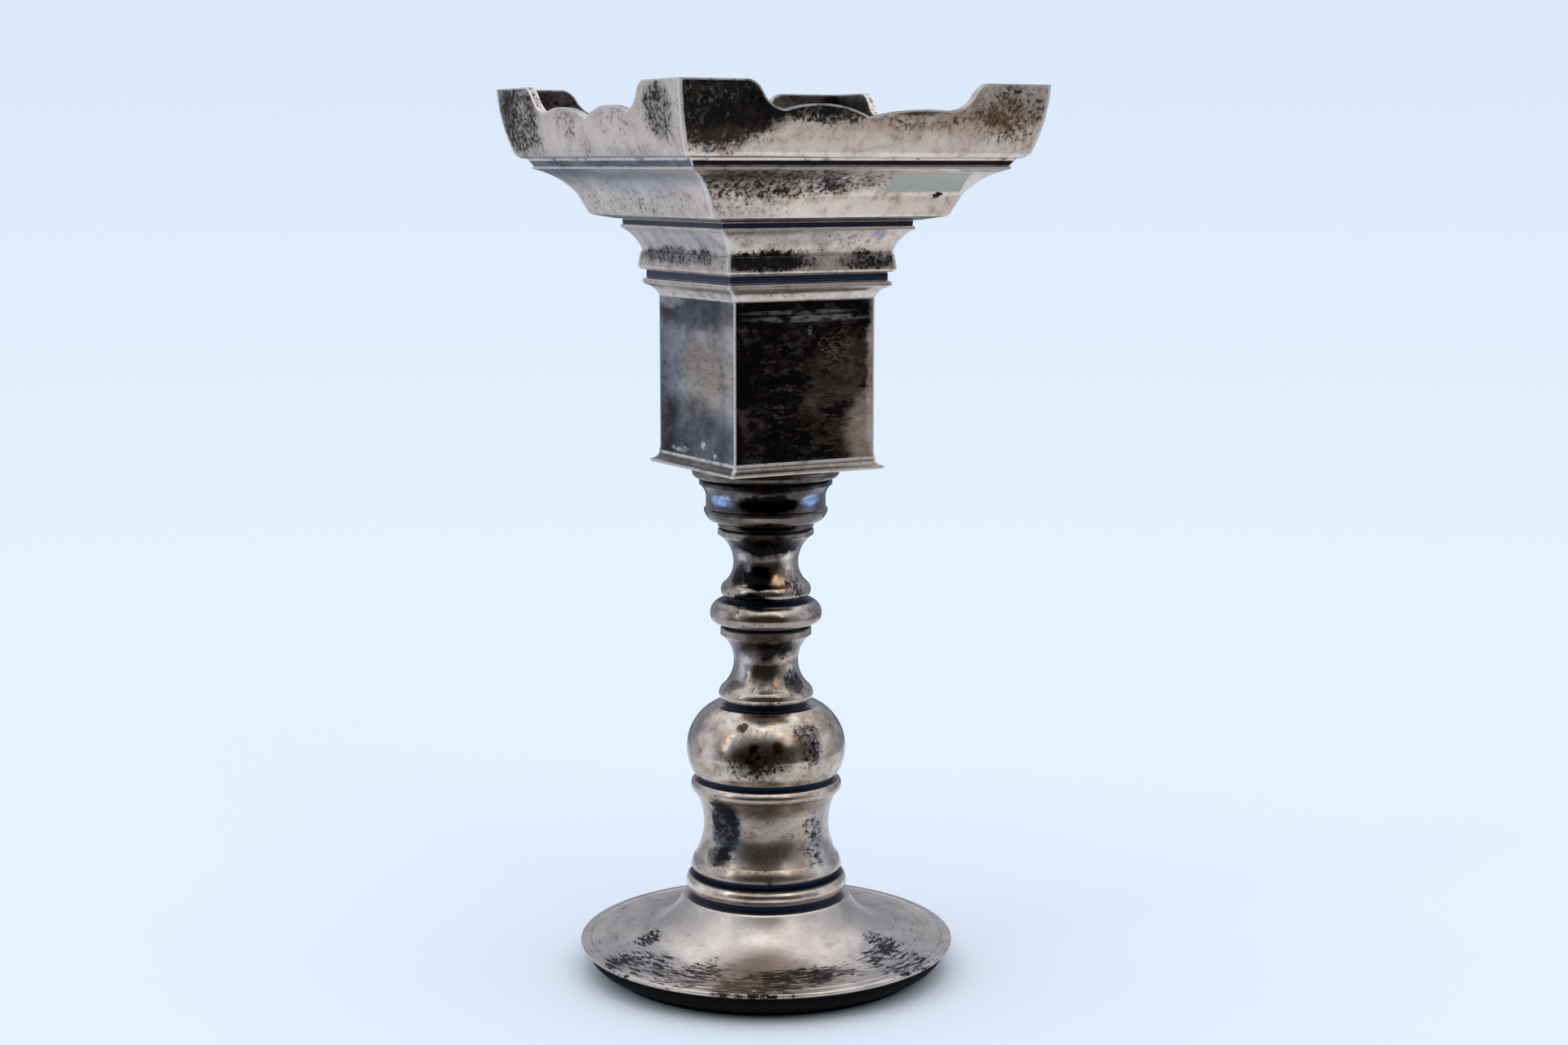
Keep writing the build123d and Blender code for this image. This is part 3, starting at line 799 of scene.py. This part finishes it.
def dress_pan_floor():
    """The floor of the pan, whose edge is the quirk under the crown: a painted blue reflection on the left,
    and black on the other sides, grime with painted shade.
    """
    seat = seat_of("pan_floor")
    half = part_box("pan_floor")[1].x / MM
    # Black along the edge: grime with painted shade for the quirk's shadow, lighter on the left
    smoke = (
        ((0, -half, seat), (60, 2.0, 3), 0.95),
        ((-half, 0, seat), (2.0, 60, 3), 0.24),
        ((0, half, seat), (60, 2.0, 3), 0.95),
        ((half, 0, seat), (2.0, 60, 3), 0.95),
    )
    # Painted reflection of the blue backdrop along the left side's edge
    blue = (((-half, 0, seat), (2.5, 60, 3), 1.2),)
    material = tarnished_silver(
        "pan_floor_silver", square=True, grain=1.3, specks=0.20, brown=0.8, smoke=0.44, smoke_patches=smoke,
        cloudiness=0.5, bloom=0.45, blue_patches=blue, gloss=0.24, edge_light=0.1, mitre_width=0.3,
    )
    dress(material, "pan_floor")


def dress_cornice():
    """The cornice and the collar between the pan and the column."""
    seat = seat_of("cornice_moulding")
    specks = (
        ((-9, -18, seat + 3.5), (10.5, 6, 2.1), 0.50),
        ((11.5, -18, seat + 3.4), (7.5, 6, 1.8), 0.34),
        ((-18, 2, seat + 4.2), (6, 18, 1.7), 0.26),
        ((0, 18, seat + 3), (18, 4, 2.2), 0.4),
        ((18, 0, seat + 3), (4, 18, 2.2), 0.4),
    )
    smoke = (
        ((-9, -18, seat + 3.2), (10.5, 6, 1.8), 0.66),
        ((11.5, -18, seat + 3.1), (7.5, 6, 1.5), 0.50),
        ((-5, -19, seat + 7.5), (13, 4, 2.0), 0.25),
        ((-20, 0, seat - 1.8), (8, 34, 2.4), 0.14),
        ((-18, 2, seat + 4.0), (6, 18, 1.7), 0.40),
    )
    blue = (((-19, 2, seat + 6.5), (4, 22, 4), 0.4), ((13, -19, seat + 8.0), (2.2, 4, 0.7), 0.6))
    bands = (quirk("cornice_moulding", 0.9), (seat - 0.45, seat))
    material = tarnished_silver(
        "cornice_silver", square=True, grain=0.8, specks=0.15, speck_patches=specks, brown=0.6, smoke=0.16,
        smoke_patches=smoke, bloom=0.25, blue_patches=blue, bands=bands,
    )
    dress(material, "cornice_moulding", "collar_moulding")


def dress_column():
    """The square box: black on the right-hand face, smoky blue-grey with a worn cloud on the left."""
    low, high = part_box("column_box")
    foot, top = low.z / MM, high.z / MM
    half = -low.x / MM
    smoke = (
        # the front: black all over, but for its lower right corner and its right edge
        ((0, -half, foot + 15), (34, 3, 34), 0.62),
        ((12.8, -half, foot + 5.6), (4.9, 3, 6.3), -0.66),
        ((7, -half, foot + 13), (8, 3, 12), -0.05),
        ((half - 0.2, -half, foot + 15), (1.7, 3.0, 17), -0.70),
        # the left side: dark along its top, its far edge and its foot
        ((-half, 1, top - 2.2), (3, 18, 4.2), 0.42),
        ((-half, 10.5, top - 0.8), (3, 6, 1.6), -0.45),
        ((-half, 13.5, foot + 15), (3, 7.5, 22), 0.17),
        ((-half, 3, foot + 4), (3, 19, 8), 0.40),
        ((-half, -13, top - 11), (1.2, 2.2, 9), -0.12),
        # the right side and the back
        ((half, 0, foot + 15), (1.2, 34, 34), 0.38),
        ((0, half, foot + 15), (34, 1.2, 34), 0.38),
    )
    specks = (
        ((2, -half, foot + 12), (16, 1.5, 14), 0.12),
        ((13, -half, foot + 6), (4.6, 1.5, 6.5), -0.1),
        ((-half, 6, foot + 8), (1.5, 10, 9), 0.06),
        ((half, 0, foot + 15), (1.5, 30, 30), 0.12),
        ((0, half, foot + 15), (30, 1.5, 30), 0.12),
    )
    bloom = (((-half, -4, foot + 17), (3, 10, 9), 0.25), ((6, -half, foot + 15), (9, 3, 14), 0.3))
    blue = (
        ((-half, 0, foot + 14), (3, 30, 26), 0.72),
        ((-half, -3, foot + 16), (3, 9, 9), -0.60),
        ((-half, -13.5, foot + 18), (3, 3.5, 12), -0.5),
    )
    curls = (((3, -half, foot + 14), (15, 3, 15), 0.30), ((9, -half, foot + 12), (7, 3, 11), 0.16))
    residue = (
        ((-1.5, -half, top - 2.3), (12, 2, 0.45), 0.22),
        ((1.5, -half, top - 3.5), (13, 2, 0.7), 0.36),
        ((0.9, -half, top - 5.6), (0.5, 2, 1.2), 0.20),
        ((-half, 6.5, foot + 1.4), (1.5, 3.4, 0.6), 0.9),
        ((-half, -2.7, foot + 2.8), (1.5, 1.1, 0.8), 1.0),
        ((-half, -7.2, foot + 1.5), (1.5, 0.8, 0.8), 0.8),
    )
    material = tarnished_silver(
        "column_silver", square=True, stretch=level_marks, grain=1.3, specks=0.10, speck_patches=specks,
        soft=0.2, brown=0.9, smoke=0.40, smoke_patches=smoke, cloudiness=0.46, scribble_patches=curls,
        bloom=0.3, bloom_patches=bloom, blue_patches=blue, residue_patches=residue, gloss=0.20,
        mitre_width=0.42,
    )
    dress(material, "column_box")


def dress_column_plate():
    """The thin plate with a lip under the column, darker on the left."""
    smoke = (((-22, 0, seat_of("column_box")), (10, 40, 6), 0.16),)
    material = tarnished_silver(
        "plate_silver", square=True, grain=0.8, specks=0.14, smoke=0.66, smoke_patches=smoke, bloom=0.3,
        edge_light=0.25,
    )
    dress(material, "column_plate")


def dress_capital():
    """The capital and the disc over it: nearly black, with a painted dark reflection down the cove's middle,
    two painted sky-blue reflections at its sides and a blue ring.
    """
    neck = seat_of("neck_capital")
    smoke = (
        # painted dark reflection down the middle of the cove, where it faces the camera
        (on_stem(0.5, 9, neck + 5.9), (6.0, 6.0, 1.9), 0.4),
        (on_stem(0.0, 9, neck + 1.2), (6.0, 6.0, 1.2), 0.4),
        # cleaner silver where the two glints fall, painted highlights
        (on_stem(-7.0, 9.4, neck + 6.3), (3.4, 3.4, 1.3), -0.75),
        (on_stem(7.0, 9.4, neck + 6.3), (3.4, 3.4, 1.3), -0.75),
        ((0, 0, neck + 9.4), (17, 17, 2.2), 0.15),
    )
    # Painted sky-blue reflections of the backdrop at the cove's two sides
    glints = (
        (on_stem(-7.2, 9.4, neck + 6.1), (3.8, 3.8, 1.9), 1.0),
        (on_stem(7.2, 9.4, neck + 6.1), (3.8, 3.8, 1.9), 1.0),
    )
    blue = (((0, 0, neck + 6), (16, 16, 3), 0.6),)
    material = tarnished_silver(
        "capital_silver", stretch=turned_marks, grain=0.8, specks=0.12, brown=0.3, smoke=0.80,
        smoke_patches=smoke, bloom=0.3, blue_patches=blue, tints=((glints, SKY),), gloss=0.07,
        bands=(quirk("neck_capital", 0.3),),
    )
    dress(material, "neck_capital", "abacus_disc")


def dress_balusters():
    """The two balusters and the ring between them: smoky, with painted highlights as clean glints at the
    waists, painted shade along the waists' edges and painted warm reflections.
    """
    upper = seat_of("upper_baluster")
    lower = seat_of("lower_baluster")
    smoke = (
        (on_stem(-1.0, 6.5, upper + 4.6), (3.0, 3.0, 2.6), 0.80),
        (on_stem(-4.8, 6.5, upper + 5.0), (2.2, 2.2, 2.8), 0.50),
        (on_stem(-2.2, 8, upper + 0.9), (4.6, 4.6, 1.3), 0.75),
        (on_stem(0.0, 6.0, upper + 8.2), (4.0, 4.0, 2.4), 0.34),
        (on_stem(0.0, 6.5, upper + 11.4), (8.0, 8.0, 1.9), 0.42),
        (on_stem(-0.4, 6.5, lower + 7.0), (3.0, 3.0, 3.6), 0.32),
        (on_stem(0.0, 6.5, lower + 11.5), (7.0, 7.0, 2.6), 0.30),
        (on_stem(5.0, 7, lower + 5.0), (2.6, 2.6, 3.0), 0.42),
        (on_stem(-5.6, 7, lower + 4.4), (2.6, 2.6, 1.0), 0.32),
        (on_stem(0.3, 8, lower + 0.9), (5.4, 5.4, 1.1), 0.5),
        # cleaner where the upper waist's left glint falls, a painted highlight
        (on_stem(-4.3, 6.2, upper + 8.4), (1.3, 1.3, 1.0), -0.42),
        ((0, 0, upper + 9.8), (12, 12, 1.3), 0.14),
        ((0, 0, upper + 11.2), (13, 13, 1.9), 0.24),
        ((0, 0, lower + 11.8), (13, 13, 2.0), 0.20),
        ((0, 0, lower + 2.2), (14, 14, 1.3), -0.22),
        # cleaner where the other glints fall on both waists and the upper flare, painted highlights
        (on_stem(4.1, 6.2, upper + 8.0), (1.5, 1.5, 1.8), -0.42),
        (on_stem(2.4, 7.0, upper + 4.2), (2.0, 2.0, 1.8), -0.35),
        (on_stem(-4.0, 6.4, lower + 8.0), (1.8, 1.8, 3.0), -0.30),
        (on_stem(4.3, 6.4, lower + 8.4), (1.6, 1.6, 2.6), -0.30),
    )
    # Painted shade along the left and right edges of both waists, as the camera sees them
    for waist in (upper + 6.5, lower + 7.5):
        for shaded_edge in (-6.6, 6.6):
            smoke += ((on_stem(shaded_edge, 6.6, waist), (1.6, 1.6, 6.0), 0.5),)
    # Painted warm reflections of the lamp on both balusters and the ring
    amber = (
        (on_stem(2.4, 7.0, upper + 4.2), (2.0, 2.0, 2.0), 0.75),
        (on_stem(2.2, 7.0, lower + 4.6), (1.2, 1.2, 1.0), 0.7),
        (on_stem(0.5, 10.0, upper - 2.6), (3.5, 3.5, 1.2), 0.3),
    )
    specks = (
        (on_stem(5.0, 7.0, upper + 3.0), (2.8, 2.8, 2.6), 0.26),
        (on_stem(5.2, 7, lower + 5.0), (2.4, 2.4, 3.0), 0.30),
        (on_stem(2.6, 6.5, lower + 11.6), (4.0, 4.0, 1.8), 0.24),
        (on_stem(0.0, 7.0, upper + 11.4), (6.0, 6.0, 1.8), 0.20),
    )
    blue = (
        (on_stem(-5.0, 6.5, upper + 8), (2.6, 2.6, 6), 0.5),
        (on_stem(-5.0, 6.5, lower + 9), (2.6, 2.6, 5), 0.4),
        (on_stem(5.5, 7, lower + 5.0), (2.2, 2.2, 2.6), 0.5),
    )
    bands = (quirk("upper_baluster", 1.0), quirk("lower_baluster", 1.35), quirk("ring_knop", 0.8))
    material = tarnished_silver(
        "stem_silver", stretch=turned_marks, grain=0.8, specks=0.16, speck_patches=specks, smoke=0.46,
        smoke_patches=smoke, bloom=0.34, blue_patches=blue, tints=((amber, AMBER),), gloss=0.09, bands=bands,
    )
    dress(material, "upper_baluster", "lower_baluster", "ring_knop")


def dress_ball():
    """The ball knop: bright, with a smoky belly, amber spots and black specks on its right, and painted warm
    reflections at either side of its top.
    """
    ball = seat_of("ball_knop")
    smoke = (
        (on_stem(-3.8, 14.5, ball + 6.0), (4.6, 4.6, 2.8), 0.40),
        (on_stem(0.8, 14.5, ball + 5.8), (5.0, 5.0, 2.4), 0.26),
        (on_stem(0.0, 14.5, ball + 8.6), (7.0, 7.0, 3.6), 0.32),
        (on_stem(-2.4, 14.5, ball + 8.9), (1.1, 1.1, 1.2), 0.45),
        (on_stem(2.2, 14.5, ball + 9.1), (1.1, 1.1, 1.3), 0.40),
        (on_stem(-4.1, 12.5, ball + 12.0), (1.2, 1.2, 0.8), 0.7),
        (on_stem(8.0, 14, ball + 9.5), (3.0, 3.0, 4.6), 0.38),
        # painted shade along its left and right edges, as the camera sees them
        (on_stem(-14.6, 15, ball + 6), (2.5, 5.0, 7), 0.25),
        (on_stem(14.8, 15, ball + 7), (2.5, 5.0, 7), 0.25),
        ((8, 11, ball + 7), (7, 6, 4), 0.6),
    )
    specks = (
        (on_stem(7.8, 14, ball + 9.0), (3.2, 3.2, 5.4), 0.36),
        (on_stem(-2.5, 14.5, ball + 5.4), (7.0, 7.0, 3.2), 0.30),
        ((8, 11, ball + 7), (7, 6, 4), 0.3),
    )
    rust = (
        (on_stem(-2.4, 14.5, ball + 8.9), (1.6, 1.6, 1.6), 1.0),
        (on_stem(2.2, 14.5, ball + 9.1), (1.6, 1.6, 1.8), 1.0),
        (on_stem(6.0, 14, ball + 9.0), (1.6, 1.6, 3.0), 0.8),
    )
    amber = (
        (on_stem(-2.4, 14.5, ball + 8.9), (1.3, 1.3, 1.5), 1.0),
        (on_stem(2.2, 14.5, ball + 9.1), (1.3, 1.3, 1.6), 1.0),
        # painted warm reflections of the lamp: a streak each side of the top
        (on_stem(5.6, 14.0, ball + 9.5), (1.0, 1.0, 3.2), 0.7),
        (on_stem(-7.0, 14.0, ball + 9.5), (0.9, 0.9, 2.6), 0.4),
    )
    material = tarnished_silver(
        "knop_silver", grain=0.9, specks=0.12, speck_patches=specks, brown=0.9, rust_patches=rust,
        smoke=0.20, smoke_patches=smoke, bloom=0.50, tints=((amber, AMBER),), gloss=0.11,
        bands=(quirk("ball_knop", 1.35),),
    )
    dress(material, "ball_knop")


def dress_drum():
    """The waisted drum and the ring under it, with a black patch on the drum's left and two painted warm
    glints near the drum's foot.
    """
    drum = seat_of("drum")
    smoke = (
        (on_stem(-7.6, 12.5, drum + 11.5), (3.4, 3.4, 6.0), 0.55),
        (on_stem(-9.6, 13.5, drum + 5.4), (3.6, 3.6, 1.8), 0.55),
        (on_stem(0.4, 14.0, drum + 1.9), (0.8, 0.8, 0.8), 1.0),
        (on_stem(-0.5, 12.0, drum + 10), (6.5, 6.5, 8), 0.24),
        (on_stem(0.0, 12.5, drum + 15.5), (12, 12, 2.4), 0.16),
        ((9, 8, drum + 9), (6, 6, 5), 0.5),
        ((0, 0, seat_of("base_ring") + 3.0), (22, 22, 2.4), -0.20),
    )
    specks = (
        (on_stem(-8.2, 12.6, drum + 11), (4.0, 4.0, 7.0), 0.42),
        (on_stem(9.4, 13.0, drum + 8.0), (3.4, 3.4, 7.0), 0.26),
        (on_stem(-9.0, 13.5, drum + 5.0), (4.0, 4.0, 2.0), 0.12),
        ((9, 8, drum + 9), (6, 6, 5), 0.3),
    )
    blue = (
        (on_stem(-8.0, 12.6, drum + 11), (4.5, 4.5, 7.0), 0.8),
        (on_stem(10.5, 13, drum + 9), (3, 3, 8), 0.4),
    )
    # Painted warm glints of the lamp near the drum's foot
    amber = (
        (on_stem(6.0, 14.2, drum + 3.6), (1.4, 1.4, 1.6), 0.5),
        (on_stem(-5.4, 14.2, drum + 3.0), (1.0, 1.0, 1.6), 0.3),
    )
    material = tarnished_silver(
        "drum_silver", stretch=turned_marks, grain=0.9, specks=0.12, speck_patches=specks, smoke=0.25,
        smoke_patches=smoke, bloom=0.45, blue_patches=blue, tints=((amber, AMBER),), gloss=0.17,
        bands=(quirk("drum", 1.35), quirk("base_ring", 1.55)),
    )
    dress(material, "drum", "base_ring")


def dress_dish():
    """The spun dish, streaked with brown and black around its brim."""
    seat = seat_of("base_dish")
    specks = (
        (on_stem(0.0, 31.3, seat + 1.5), (15, 6.4, 3), 0.36),
        (on_stem(14.0, 29.5, seat + 1.5), (6, 5.5, 3), 0.20),
        (on_stem(-14.0, 30.5, seat + 1.5), (9, 6.0, 3), 0.30),
        (on_stem(-24.0, 31.0, seat + 1.5), (8, 8.0, 3), 0.30),
        (on_stem(-22.3, 23.4, seat + 2), (3.5, 3.5, 3), 0.40),
        (on_stem(21.5, 23.4, seat + 2), (4.5, 4.5, 3), 0.36),
        (on_stem(25.0, 31.0, seat + 1.5), (8, 8.0, 3), 0.30),
        ((0, 0, seat + 7), (24, 24, 5.5), -0.22),
        ((0, 0, seat + 1.0), (34, 34, 2.0), 0.10),
        ((14, 24, seat + 2), (14, 10, 3), 0.15),
    )
    smoke = (
        (on_stem(1.0, 32, seat + 1.5), (15, 6, 3), 0.16),
        (on_stem(-26, 31, seat + 1.5), (9, 9, 3), 0.10),
        ((0, 0, seat + 8), (24, 24, 7), 0.12),
    )
    bloom = (((0, 0, seat + 8), (24, 24, 8), -0.25),)
    rust = (
        (on_stem(-5, 31.5, seat + 1), (6, 5, 3), 0.45),
        (on_stem(8.5, 33.5, seat + 1), (2.5, 2.5, 3), 0.6),
    )
    blue = (
        (on_stem(26, 30, seat + 2), (10, 14, 3), 0.26),
        (on_stem(-26, 30, seat + 2), (9, 12, 3), 0.22),
        ((10, 22, seat + 2), (22, 14, 3), 0.30),
        ((0, 0, seat + 3), (60, 60, 16), 0.14),
    )
    material = tarnished_silver(
        "dish_silver", stretch=spun_marks, grain=0.8, specks=0.17, speck_patches=specks, soft=0.06, halo=0.15,
        brown=0.8, rust_patches=rust, smoke=0.14, smoke_patches=smoke, bloom=0.18, bloom_patches=bloom,
        blue_patches=blue, gloss=0.27, crevice=(0.40, 0.66),
    )
    dress(material, "base_dish")


def dress_cup():
    """The lift-out candle cup: brighter, with a little smoke around the socket."""
    material = tarnished_silver(
        "cup_silver", stretch=cup_marks, grain=0.9, specks=0.16, smoke=0.14, inner=0.35, bloom=0.35,
        gloss=0.12,
    )
    dress(material, "candle_cup")


def dress_underside():
    """The blackened foot, the felt, the closing plate, the loading and the fastenings."""
    black = ((0.002, 0.002, 0.0025, 1), (0.007, 0.0065, 0.0065, 1))
    tin = ((0.45, 0.44, 0.42, 1), (0.30, 0.29, 0.28, 1))
    iron = ((0.06, 0.055, 0.05, 1), (0.13, 0.09, 0.06, 1))
    steel = ((0.55, 0.55, 0.54, 1), (0.38, 0.37, 0.36, 1))
    foot = plain_material("blackened_foot", black, 0.75, metallic=0.0, grain=1.5, depth=0.02, specular=0.08)
    plate = plain_material("closing_tin", tin, 0.5, metallic=0.9, grain=3.0, depth=0.02)
    loading = plain_material("iron_loading", iron, 0.8, metallic=0.3, grain=1.2, depth=0.08)
    fastening = plain_material("steel", steel, 0.35, metallic=1.0, grain=1.0, depth=0.01)
    dress(foot, "foot_ring")
    dress(felt_material(), "felt_pad")
    dress(plate, "bottom_plate")
    dress(loading, "base_weight")
    dress(fastening, "tie_rod", "top_nut", "top_washer", "bottom_nut", "bottom_washer")


add_camera()
add_table()
add_world()
add_lights()
scene.view_settings.view_transform = "Standard"

dress_crown()
dress_pan_moulding()
dress_pan_floor()
dress_cornice()
dress_column()
dress_column_plate()
dress_capital()
dress_balusters()
dress_ball()
dress_drum()
dress_dish()
dress_cup()
dress_underside()
ease_arrises(*SQUARE_TIERS, *CROWN_PLATES)
